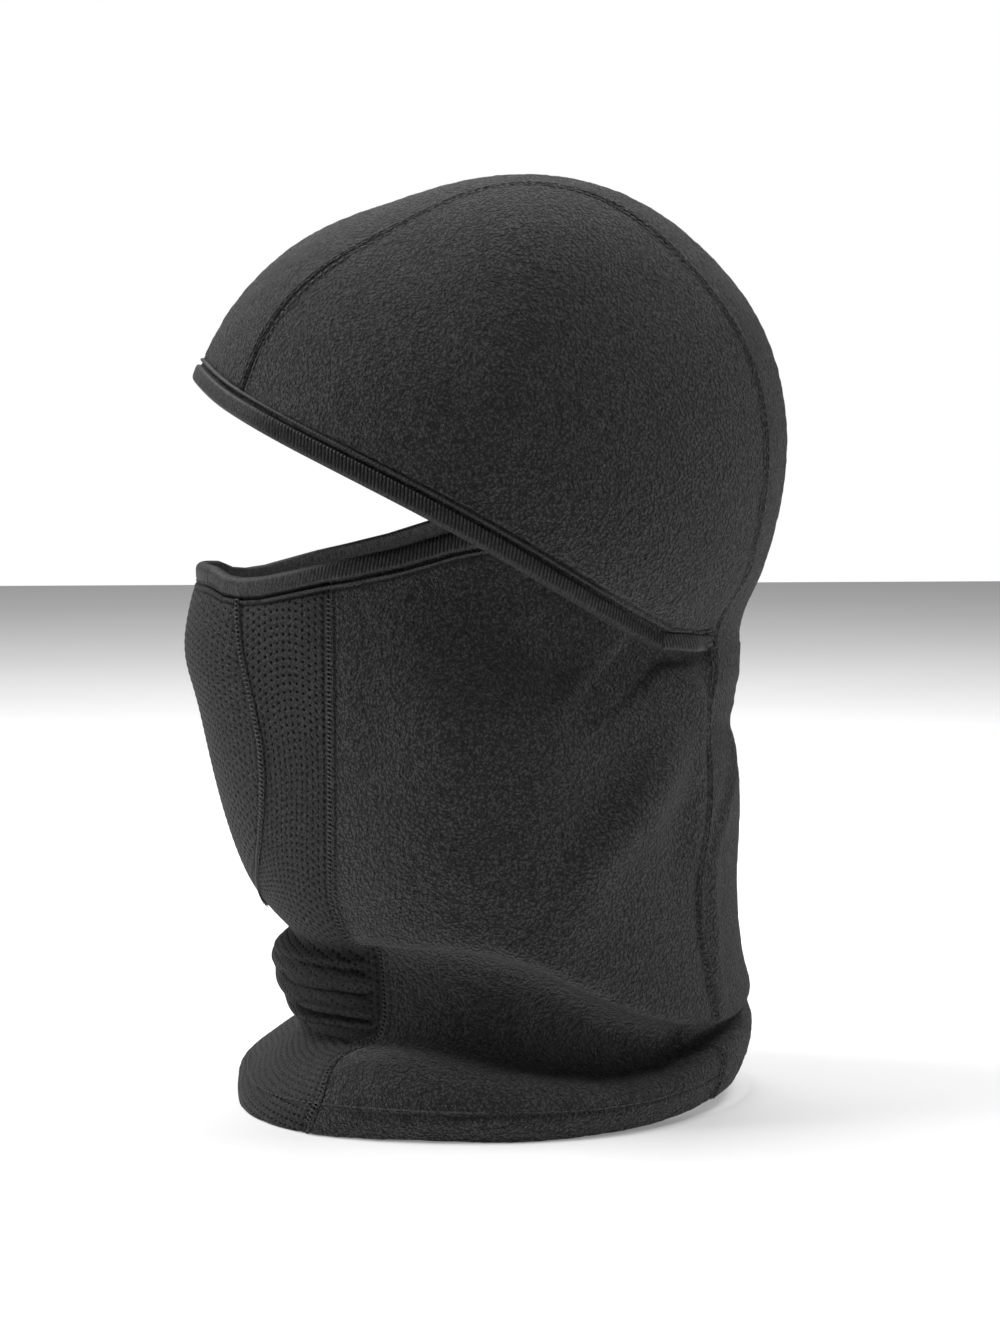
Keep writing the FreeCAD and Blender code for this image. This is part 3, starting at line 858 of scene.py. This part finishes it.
# Sections, as distances into the cloth from its edge and out of it
BINDING = [
    (-0.6, 0.5), (0.7, 1.6), (3.0, 1.6), (5.1, 1.45), (5.6, 0.6), (5.6, -2.0), (5.1, -2.9), (2.0, -3.0),
    (-0.4, -2.7), (-1.0, -1.1),
]
CORD = [(6.8, -0.9), (6.8, 0.45), (7.4, 0.85), (8.0, 0.45), (8.0, -0.9)]
TAB = [
    (-0.6, 0.3), (0.5, 1.35), (3.0, 1.3), (5.1, 1.15), (5.6, 0.2), (5.6, -2.0), (3.0, -2.6), (0.4, -2.5),
    (-0.6, -1.2),
]
RIB, RIB_LEAN, RIB_HEIGHT = 1.3, 0.4, 0.36  # the ribs' pitch, their slant and their height
RIB_STEPS = 5
RIDGE_STITCH = (1.5, 1.0, 0.16)  # pitch, length and half thickness
RIDGE_OUT = 0.62  # how far out of the cloth the cord's stitches lie
INNER_STITCH = (4.0, -2.95)  # where the mask tape's inner row of stitches lies, as in a section


def whole_edge(left):
    """A left edge that starts at the middle plane, with its mirror image before it."""
    return np.concatenate([mirror(left, -1)[:0:-1], left])


def hood_full_edge():
    """The hood's left edge from the middle of the brow to the strip's seam at the nape."""
    brow = strip_at(np.zeros(60), np.linspace(0, float(strip_half(0.0)), 60))
    return spread(np.concatenate([brow, hood_edge_path()[1:]]), count=1200)


def hood_outward(points):
    """The way out of the hood's cloth: the way that its form grows fastest."""

    def form(place):
        x, y, z = np.moveaxis(place - HOOD_CENTRE, -1, 0)
        angle = np.arctan2(y, z)
        power = square(angle)
        return (np.abs(x) / HOOD_WIDE) ** power + (np.hypot(y, z) / hood_reach(angle)) ** power

    return unit(np.stack([form(points + step) - form(points - step) for step in np.eye(3) / 2], -1))


def neck_outward(points):
    """The way out of the gaiter's cloth, near enough."""
    return unit(points * np.array([1 / 62**2, 1 / 90**2, 0]))


def blended_outward(points, neck):
    """The way out of the hood's cloth where neck is 0, and of the gaiter's where it is 1."""
    return unit(lerp(hood_outward(points), neck_outward(points), neck[..., None]))


def edge_outward(points):
    """The way out along the hood's edge, which lies on the gaiter behind the ear."""
    return blended_outward(points, smooth(points[:, 1], 15, 45))


def make_tape(name, body, path, into, out, section, ribs):
    """A tape folded over an edge, and the raised cord beside it."""
    tape = sweep(path, into, out, rounded(section), ribs)
    cord = sweep(path, into, out, rounded(CORD), ribs / 3)
    uvs = np.concatenate([tape[2], cord[2]])
    piece = make_object(name, *join([tape[:2], cord[:2]]), uvs)
    finish_piece(piece, "binding", body, name)


def make_hood_binding():
    edge = hood_full_edge()
    edge = edge[: np.searchsorted(edge[:, 1], TAB_START[0])]
    path = spread(whole_edge(edge), pitch=RIB / RIB_STEPS)
    into, out = frames(path, edge_outward(path), 1)
    ribs = RIB_HEIGHT * smooth(path[:, 1], -95, -70)
    make_tape("hood_edge_binding", "hood", path, into, out, BINDING, ribs)
    row = stitch_row(path + into * RIDGE + out * RIDGE_OUT, out, *RIDGE_STITCH)
    make_threads("hood_binding_stitch", "hood", [row])


def make_tab(side, word):
    edge = hood_full_edge()
    start = np.searchsorted(edge[:, 1], TAB_START[0])
    path = spread(mirror(edge[start + 2 :], side), pitch=0.5)
    into, out = frames(path, edge_outward(path), 1)
    make_tape(f"rear_hem_tab_{word}", "hood", path, into, out, TAB, np.zeros(len(path)))


RIM_TAPE_END = 40  # the depth at which the mask's tape ends, under the hood


def rim_path():
    """The gaiter's rim from the middle of the nose back along the wearer's left."""
    angle = np.linspace(0, 2.2, 900)
    path = gaiter_at(rim_top(lambda v: angle, np.full(900, TOP_LEVEL)), angle)
    return path[path[:, 1] < RIM_TAPE_END]


def make_mask_binding():
    path = spread(whole_edge(rim_path()), pitch=RIB / RIB_STEPS)
    into, out = frames(path, from_axis(path), -1)
    ribs = RIB_HEIGHT * smooth(path[:, 1], -75, -35)
    make_tape("mask_edge_binding", "gaiter", path, into, out, BINDING, ribs)
    outer = stitch_row(path + into * RIDGE + out * RIDGE_OUT, out, *RIDGE_STITCH)
    inner = stitch_row(path + into * INNER_STITCH[0] + out * INNER_STITCH[1], -out, *RIDGE_STITCH)
    make_threads("mask_binding_stitch", "gaiter", [outer, inner])


# ---- stitches
def stitch_row(path, out, pitch, length, thick, lift=0.0):
    """Separate stitches along a path: points and faces for make_object."""
    run = along(path)
    starts = np.arange(pitch / 2, run[-1] - pitch / 2, pitch)
    outs = unit(sample(out, run, starts))
    ways = unit(sample(path, run, starts + 0.3) - sample(path, run, starts - 0.3))
    return threads(sample(path, run, starts) + outs * lift, ways, outs, length, thick)


# A thread's places along its length, and how thick it is there
THREAD = [(-0.5, 0.35), (-0.4, 0.8), (-0.15, 1.0), (0.15, 1.0), (0.4, 0.8), (0.5, 0.35)]


def threads(middles, ways, outs, length, thick):
    """A short arched thread at each point, lying along ways with its back to outs."""
    sides = np.cross(outs, ways)
    around = 6
    turn = np.arange(around) * TAU / around
    rings = []
    for place, size in THREAD:
        arch = 0.5 * (1 - (2 * place) ** 2)
        side, rise = size * thick * np.cos(turn), size * thick * np.sin(turn) + arch * thick
        rings.append(np.stack([place * length + 0 * turn, side, rise], 1))
    local = np.concatenate(rings)
    m = len(local)
    points = middles[:, None]
    for axis, part in zip((ways, sides, outs), local.T):
        points = points + axis[:, None] * part[None, :, None]
    index = np.arange(m).reshape(-1, around)
    index = np.concatenate([index, index[:, :1]], 1)
    quads = grid_quads(index, False)
    caps = np.stack([index[0, :-1][::-1], index[-1, :-1]])
    offsets = (np.arange(len(middles)) * m)[:, None, None]
    faces = [(block[None] + offsets).reshape(-1, block.shape[1]) for block in (quads, caps)]
    return points.reshape(-1, 3), faces


def join(parts):
    """Several (points, faces) as one."""
    points, faces, base = [], [], 0
    for some, blocks in parts:
        points.append(some)
        faces += [block + base for block in blocks]
        base += len(some)
    return np.concatenate(points), faces


def make_threads(name, body, parts):
    """One piece from several rows of stitches."""
    finish_piece(make_object(name, *join(parts)), "thread", body, name)


SEAM_STITCH = (2.9, 2.2, 0.32)  # pitch, length and half thickness
HEM_THREAD = (2.9, 2.2, 0.26)  # the hem's are thinner
FLAT_STITCH, CROSS_STITCH = (2.4, 1.7, 0.2), (1.5, 2.6, 0.26)  # along a flat seam, and across it


def make_seam_stitches(side, word):
    """Two rows beside the strip's seam, over the head and down the neck."""
    for name, start, end, body in ("crown", 0.03, 1.0, "hood"), ("back", 1.0, 1.93, "gaiter"):
        r = np.linspace(start, end, 700)
        parts = []
        for row in (-SEAM_ROW, SEAM_ROW):
            path = mirror(strip_at(r, strip_half(r) + row), side)
            out = blended_outward(path, 1 - smooth(path[:, 2], 150, 190))
            parts.append(stitch_row(path, out, *SEAM_STITCH))
        make_threads(f"{name}_seam_stitch_{word}", body, parts)


def cross_stitches(path, out, pitch, length, thick, lean=0.0):
    """Short threads that lie across a seam, as a flat seam's top threads do."""
    run = along(path)
    places = np.arange(pitch, run[-1] - pitch, pitch)
    outs = unit(sample(out, run, places))
    ways = unit(sample(np.gradient(path, axis=0), run, places))
    across = unit(np.cross(outs, ways) + ways * lean)
    return threads(sample(path, run, places), across, outs, length, thick)


BELOW_TAPE = 0.55  # the seams' stitches stop this many levels below the rim


def flat_seam(angle_of, levels, side, rise, lean, lift):
    """The stitches of a flat seam: short threads across it between two rows along it."""
    path = mirror(gaiter_at(levels, angle_of(levels)), side)
    out = unit(from_axis(path))
    sideways = unit(np.cross(out, unit(np.gradient(path, axis=0))))
    parts = [cross_stitches(path + out * rise, out, *CROSS_STITCH, lean=lean)]
    for offset in (-FLAT_ROW, FLAT_ROW):
        parts.append(stitch_row(path + sideways * offset, out, *FLAT_STITCH, lift=lift))
    return parts


def make_front_stitches(side, word):
    levels = np.linspace(0.4, rim_level(-65.0) - BELOW_TAPE, 900)
    parts = flat_seam(front_seam_angle, levels, side, 0.1, 0.2, -0.05)
    make_threads(f"front_seam_stitch_{word}", "gaiter", parts)


def make_mouth_stitches():
    levels = np.linspace(front_level(MOUTH_LOW + 1), rim_level(-97.0) - BELOW_TAPE, 700)
    left, right = (flat_seam(mouth_seam_angle, levels, side, 0.2, 0.15, 0.0) for side in (1, -1))
    make_threads("mouth_seam_stitch", "gaiter", left + right)


def hem_ring(height, count):
    """A closed ring of the gaiter that is this high at the wearer's side."""
    levels = np.linspace(0, 3, 100)
    level = np.interp(height, rows(HEIGHTS[:, 3], levels), levels)
    return gaiter_at(np.full(count + 1, level), np.linspace(-math.pi, math.pi, count + 1))


def make_hem():
    ring = hem_ring(HEM_STITCH, 1600)
    make_threads("hem_stitch", "gaiter", [stitch_row(ring, unit(from_axis(ring)), *HEM_THREAD)])
    base = np.stack([hem_ring(height, 240) for height in (0.6, 4.0, 8.0, 12.0)])
    base -= unit(from_axis(base)) * (FABRIC + 0.15)
    flat = np.zeros(base.shape[:2])
    piece = closed_sheet("hem_fold_band", base, flat, flat, thick=1.5)
    finish_piece(piece, "fleece", "gaiter", "hem_fold_band")


# ---- materials
def node_material(name, roughness, sheen):
    """A new material, its node tree and its shader."""
    material = bpy.data.materials.new(name)
    material.use_nodes = True
    tree = material.node_tree
    shader = tree.nodes["Principled BSDF"]
    shader.inputs["Roughness"].default_value = roughness
    shader.inputs["Specular IOR Level"].default_value = 0.25
    shader.inputs["Sheen Weight"].default_value = sheen
    shader.inputs["Sheen Roughness"].default_value = 0.3
    shader.inputs["Sheen Tint"].default_value = (0.8, 0.8, 0.8, 1)
    return material, tree, shader


def feed(tree, socket, value):
    """Links another node's output to an input, or sets a plain value on it."""
    if isinstance(value, bpy.types.NodeSocket):
        tree.links.new(value, socket)
    else:
        socket.default_value = value


def add(tree, kind, *inputs, **values):
    """A node. Its first inputs come in their own order, and settings and other inputs by name."""
    node = tree.nodes.new(kind)
    for key, value in values.items():
        if hasattr(node, key):
            setattr(node, key, value)
        else:
            feed(tree, node.inputs[key.replace("_", " ")], value)
    for socket, value in zip(node.inputs, inputs):
        feed(tree, socket, value)
    return node


def calc(tree, operation, *inputs):
    return add(tree, "ShaderNodeMath", *inputs, operation=operation).outputs["Value"]


def remap(tree, value, low, high):
    """0 where value is low and 1 where it is high, and between them an even change."""
    return add(tree, "ShaderNodeMapRange", value, low, high).outputs["Result"]


def object_place(tree):
    return add(tree, "ShaderNodeTexCoord").outputs["Object"]


def cloth_place(tree):
    """The place in the flat cloth, in metres, and its two parts."""
    uv = add(tree, "ShaderNodeUVMap", uv_map="cloth").outputs["UV"]
    split = add(tree, "ShaderNodeSeparateXYZ", uv)
    return uv, split.outputs["X"], split.outputs["Y"]


def wave(tree, place, pitch):
    """A cosine wave with this pitch in mm."""
    return calc(tree, "COSINE", calc(tree, "MULTIPLY", place, TAU / (pitch * MM)))


def grain(tree, place, scale, detail=2.0, roughness=0.5):
    """Noise with about this many features in a metre."""
    node = add(tree, "ShaderNodeTexNoise", Vector=place, Scale=scale, Detail=detail, Roughness=roughness)
    return node.outputs["Fac"]


def ramp(tree, source, stops):
    """Greys at places along a ramp."""
    node = add(tree, "ShaderNodeValToRGB", source)
    elements = node.color_ramp.elements
    elements[0].position, elements[-1].position = stops[0][0], stops[-1][0]
    for place, _ in stops[1:-1]:
        elements.new(place)
    for element, (_, grey) in zip(elements, stops):
        element.color = (grey, grey, grey, 1)
    return node.outputs["Color"]


def darkened(tree, colour, amount):
    """The colour, darker by an amount from 0 to 1."""
    mix = add(tree, "ShaderNodeMix", amount, data_type="RGBA")
    feed(tree, mix.inputs[6], colour)
    feed(tree, mix.inputs[7], (0.001, 0.001, 0.001, 1))
    return mix.outputs[2]


# the painted shade stored on the sheets: in their grooves and in the hollow below the drape
def groove_of(tree):
    return add(tree, "ShaderNodeAttribute", attribute_name="groove").outputs["Fac"]


def dress(tree, shader, colour, height, strength, distance):
    """Gives a shader its colour, and its bump from height."""
    node = add(tree, "ShaderNodeBump", Height=height, Strength=strength, Distance=distance)
    feed(tree, shader.inputs["Normal"], node.outputs["Normal"])
    feed(tree, shader.inputs["Base Color"], colour)


def fleece_material():
    """Brushed fleece: short wormy pile with bright fibre tips, uneven over a few millimetres."""
    material, tree, shader = node_material("brushed_fleece", 0.95, 0.36)
    place = object_place(tree)
    bend = add(tree, "ShaderNodeTexNoise", Vector=place, Scale=420.0, Detail=2.0).outputs["Color"]
    bent = add(tree, "ShaderNodeVectorMath", bend, (0.001,) * 3, place, operation="MULTIPLY_ADD").outputs[0]
    worms = add(tree, "ShaderNodeTexVoronoi", Vector=bent, feature="SMOOTH_F1", Scale=1020.0)
    tips = grain(tree, bent, 1800.0, 3.0, 0.65)
    height = calc(tree, "MULTIPLY_ADD", worms.outputs["Distance"], -0.75, tips)
    shade = calc(tree, "MULTIPLY_ADD", grain(tree, place, 70.0), 0.1, height)
    colour = ramp(tree, shade, [(0.0, 0.0005), (0.14, 0.0024), (0.27, 0.0125), (0.43, 0.092)])
    # painted shade from the groove attribute darkens the fleece's colour
    dress(tree, shader, darkened(tree, colour, groove_of(tree)), height, 1.0, 0.004)
    return material


def mesh_material():
    """Smooth polyester knit: fine stitches, and painted shade inside its holes."""
    material, tree, shader = node_material("perforated_knit", 0.75, 0.05)
    across, up = cloth_place(tree)[1:]
    total = calc(tree, "ADD", wave(tree, across, HOLE_ACROSS), wave(tree, up, HOLE_UP))
    yarn = grain(tree, object_place(tree), 1300.0, 3.0)
    colour = ramp(tree, yarn, [(0.3, 0.011), (0.5, 0.026), (0.7, 0.058)])
    # painted shade: from the groove attribute, and inside the holes, where the two waves are high together
    colour = darkened(tree, darkened(tree, colour, groove_of(tree)), remap(tree, total, 1.25, 1.85))
    dress(tree, shader, colour, yarn, 0.8, 0.0006)
    return material


def binding_material():
    """Smooth knit tape. Its ribs fade in behind the front and stand on the outside only; painted shade
    darkens the valleys between them there.
    """
    material, tree, shader = node_material("ribbed_tape", 0.6, 0.06)
    place = object_place(tree)
    uv, run, into = cloth_place(tree)
    stretched = add(tree, "ShaderNodeMapping", uv, Scale=(1900.0, 300.0, 1.0)).outputs["Vector"]
    yarn = calc(tree, "ADD", grain(tree, place, 1500.0, 3.0), grain(tree, stretched, 1.0))
    colour = ramp(tree, yarn, [(0.6, 0.014), (1.0, 0.028), (1.4, 0.05)])
    # painted shade in the valleys between the ribs, faded in behind the front and kept to the outside
    valley_shade = remap(tree, wave(tree, calc(tree, "MULTIPLY_ADD", into, RIB_LEAN, run), RIB), 0.5, -1.0)
    depth = add(tree, "ShaderNodeSeparateXYZ", place).outputs["Y"]
    behind = calc(tree, "MULTIPLY", valley_shade, remap(tree, depth, -0.088, -0.05))
    normal = add(tree, "ShaderNodeNewGeometry").outputs["Normal"]
    facing = add(tree, "ShaderNodeVectorMath", normal, place, operation="DOT_PRODUCT").outputs["Value"]
    shown = calc(tree, "MULTIPLY", behind, remap(tree, facing, 0.0, 0.02))
    dress(tree, shader, darkened(tree, colour, shown), yarn, 0.35, 0.0003)
    return material


def thread_material():
    """Twisted polyester thread, a little lighter than the cloth."""
    material, tree, shader = node_material("sewing_thread", 0.55, 0.05)
    twist = grain(tree, object_place(tree), 2600.0)
    dress(tree, shader, ramp(tree, twist, [(0.3, 0.03), (0.7, 0.09)]), twist, 0.4, 0.0002)
    return material


def floor_material():
    material, tree, shader = node_material("pale_floor", 0.85, 0.0)
    colour = ramp(tree, grain(tree, object_place(tree), 3.0), [(0.3, 0.66), (0.7, 0.69)])
    feed(tree, shader.inputs["Base Color"], colour)
    shader.inputs["Emission Color"].default_value = (1, 1, 1, 1)
    shader.inputs["Emission Strength"].default_value = 0.22
    return material


MATERIALS = {
    "fleece": fleece_material(),
    "mesh": mesh_material(),
    "binding": binding_material(),
    "thread": thread_material(),
}


def finish_piece(piece, slot, body, *nodes):
    """Gives a piece its material and hides the nodes that it stands for. A piece of the gaiter is hung on
    the gaiter's body; any other piece has its place baked into its mesh."""
    piece.data.materials.append(MATERIALS[slot])
    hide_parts(*nodes)
    if body == "gaiter":
        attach(piece, body)
    else:
        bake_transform(piece)


# ---- all the pieces
sides_of(make_hood_side)
make_strip()
sides_of(make_neck_side)
make_mouth()
sides_of(make_mesh_side)
make_hood_binding()
sides_of(make_tab)
make_mask_binding()
sides_of(make_seam_stitches)
sides_of(make_front_stitches)
make_mouth_stitches()
make_hem()

# ---- floor, light and camera
FLOOR_HALF = 3.0  # in metres, as all of the scene around the object is
FLOOR_GAP = 0.2  # how far below the hem the floor lies, in mm
WORLD_LIGHT = 0.03  # how bright the white surroundings are as a light


def make_floor():
    points = np.array([(-1, -1, 0), (1, -1, 0), (1, 1, 0), (-1, 1, 0)]) * FLOOR_HALF / MM
    points[:, 2] = cad_bounds[0][2] / MM - FLOOR_GAP
    floor = make_object("floor", points, [np.array([[0, 1, 2, 3]])])
    floor.data.materials.append(floor_material())


def area_light(name, place, size, power, target=(0, 0, 0.16)):
    """A square lamp with this side in metres and power in watts, aimed at the target."""
    light = bpy.data.lights.new(name, "AREA")
    light.shape = "SQUARE"
    light.size = size
    light.energy = power
    lamp = bpy.data.objects.new(name, light)
    lamp.location = place
    lamp.visible_camera = False
    lamp.rotation_euler = (Vector(target) - Vector(place)).to_track_quat("-Z", "Y").to_euler()
    bpy.context.scene.collection.objects.link(lamp)


def make_camera():
    """The camera stands at the wearer's left, a little to the front and a little above."""
    azimuth, elevation, distance = math.radians(4.5), math.radians(5.0), 0.95
    target = Vector((0, 0.0026, 0.151))
    level = math.cos(elevation)
    back = Vector((math.cos(azimuth) * level, -math.sin(azimuth) * level, math.sin(elevation)))
    camera = bpy.data.objects.new("camera", bpy.data.cameras.new("camera"))
    camera.data.lens = 74.0
    camera.data.sensor_width = 36.0
    camera.location = target + back * distance
    camera.rotation_mode = "QUATERNION"
    camera.rotation_quaternion = (-back).to_track_quat("-Z", "Y")
    bpy.context.scene.collection.objects.link(camera)
    bpy.context.scene.camera = camera


def make_world():
    """White to look at, and dimmer as a light, so that the lamps shape the cloth."""
    world = bpy.data.worlds.new("studio")
    world.use_nodes = True
    tree = world.node_tree
    seen = add(tree, "ShaderNodeLightPath").outputs["Is Camera Ray"]
    strength = add(tree, "ShaderNodeMapRange", Value=seen, To_Min=WORLD_LIGHT, To_Max=1.0)
    background = tree.nodes["Background"]
    background.inputs["Color"].default_value = (1, 1, 1, 1)
    feed(tree, background.inputs["Strength"], strength.outputs["Result"])
    bpy.context.scene.world = world


make_floor()
area_light("front", (-0.1, -0.85, 1.6), 0.8, 34)
area_light("back", (-0.2, 0.85, 1.55), 0.8, 20)
area_light("above", (-0.7, 0.0, 1.7), 0.9, 17)
area_light("front_low", (0.0, -1.6, 0.35), 0.7, 2.0)
area_light("back_low", (-0.1, 1.6, 0.4), 0.7, 2.0)
area_light("opening", (0.035, -0.03, 0.213), 0.05, 0.05, (-0.06, -0.035, 0.186))
make_camera()
make_world()
bpy.context.scene.view_settings.view_transform = "Standard"
